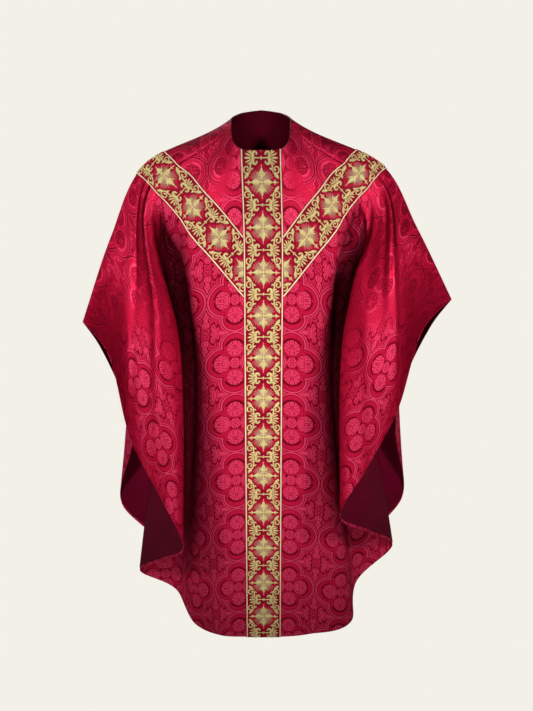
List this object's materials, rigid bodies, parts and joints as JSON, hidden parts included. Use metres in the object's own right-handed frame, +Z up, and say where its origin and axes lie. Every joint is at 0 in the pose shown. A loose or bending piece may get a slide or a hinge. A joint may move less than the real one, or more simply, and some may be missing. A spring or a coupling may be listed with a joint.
{
  "type": "gothic chasuble",
  "caption": "Gothic chasuble of red damask in its worn, hollow form, lined, with braid orphreys in a Y front and back and each side doubled back below the forearm.",
  "frame": {"origin": "middle of the neck opening, level with the points where the shoulder seams start, where the wearer's neck and shoulders hold the garment up", "axes": "+Z up, -Y to the garment's front, +X to the wearer's left"},
  "size_m": [0.7562, 0.4222, 1.2981],
  "materials": {
    "damask": "satin damask weave",
    "lining": "plain satin",
    "braid": "gold thread on red satin ground"
  },
  "bodies": {
    "root": {"front_panel": "damask", "back_panel": "damask", "front_lining": "lining", "back_lining": "lining", "front_column": "braid", "front_arm_left": "braid", "front_arm_right": "braid", "back_column": "braid", "back_arm_left": "braid", "back_arm_right": "braid"}
  },
  "joints": []
}
